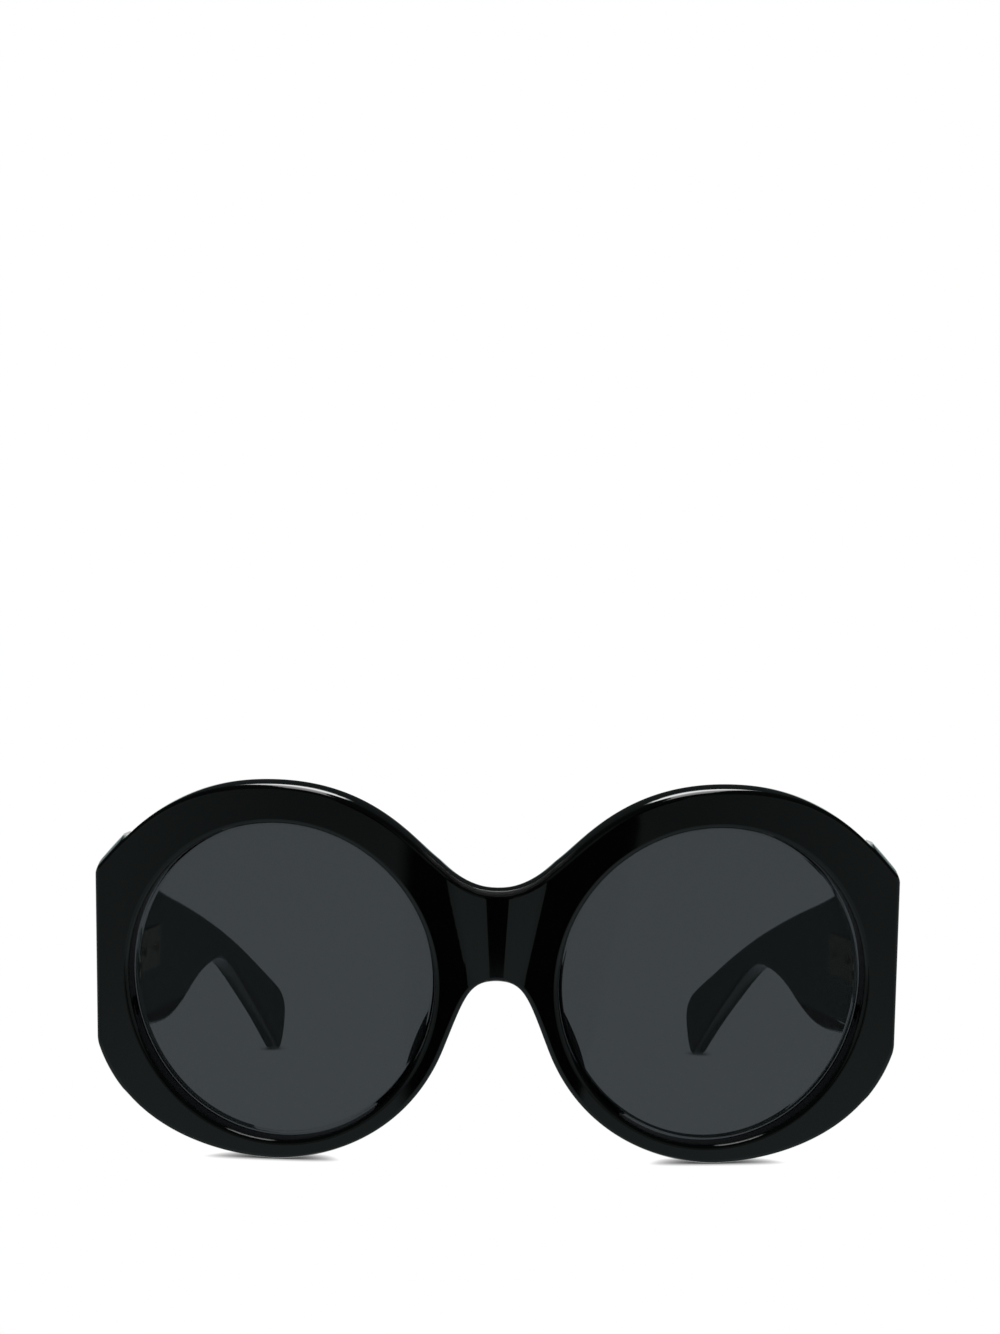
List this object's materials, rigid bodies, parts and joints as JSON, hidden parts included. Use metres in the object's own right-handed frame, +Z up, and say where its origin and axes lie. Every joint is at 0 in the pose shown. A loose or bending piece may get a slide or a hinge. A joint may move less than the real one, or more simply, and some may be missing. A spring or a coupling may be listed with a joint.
{
  "type": "sunglasses",
  "caption": "Round sunglasses with a thick glossy black front, dark tinted lenses, nose pads, and wide tapering temples that fold in on small knuckle hinges.",
  "frame": {"origin": "on the floor, under the middle of the box that holds the open glasses", "axes": "+X to the right of someone who faces the front, which is the wearer's left; +Y from the front to the ear ends; +Z up, with the rims and both ear ends standing on the floor"},
  "size_m": [0.1454, 0.1706, 0.0689],
  "materials": {
    "front_plastic": "polished black sheet plastic",
    "temple_plastic": "polished black sheet plastic",
    "pad_plastic": "polished black, glued to the rims",
    "tinted_lens": "dark neutral grey tint, clear and glossy",
    "hinge_metal": "pale gold plate",
    "screw_metal": "pale gold plate",
    "rivet_metal": "pale gold plate",
    "pin_metal": "plain steel, hidden in use",
    "core_metal": "plain wire, hidden in the temple"
  },
  "bodies": {
    "front": {"front_frame": "front_plastic", "lens_left": "tinted_lens", "nose_pad_left": "pad_plastic", "hinge_front_leaf_left": "hinge_metal", "hinge_screw_left": "screw_metal", "front_pin_upper_left": "pin_metal", "front_pin_lower_left": "pin_metal", "lens_right": "tinted_lens", "nose_pad_right": "pad_plastic", "hinge_front_leaf_right": "hinge_metal", "hinge_screw_right": "screw_metal", "front_pin_upper_right": "pin_metal", "front_pin_lower_right": "pin_metal"},
    "arm_left": {"temple_left": "temple_plastic", "hinge_temple_leaf_left": "hinge_metal", "core_wire_left": "core_metal", "temple_pin_fore_left": "rivet_metal", "temple_pin_rear_left": "rivet_metal"},
    "arm_right": {"temple_right": "temple_plastic", "hinge_temple_leaf_right": "hinge_metal", "core_wire_right": "core_metal", "temple_pin_fore_right": "rivet_metal", "temple_pin_rear_right": "rivet_metal"}
  },
  "joints": [
    {"name": "fold_left", "type": "hinge", "parent": "front", "child": "arm_left", "pos_m": [-0.06674, -0.05928, 0.0348], "axis": [0, 0, -1], "range_deg": [0, 84.4]},
    {"name": "fold_right", "type": "hinge", "parent": "front", "child": "arm_right", "pos_m": [0.06674, -0.05928, 0.0348], "axis": [0, 0, 1], "range_deg": [0, 72.5]}
  ]
}
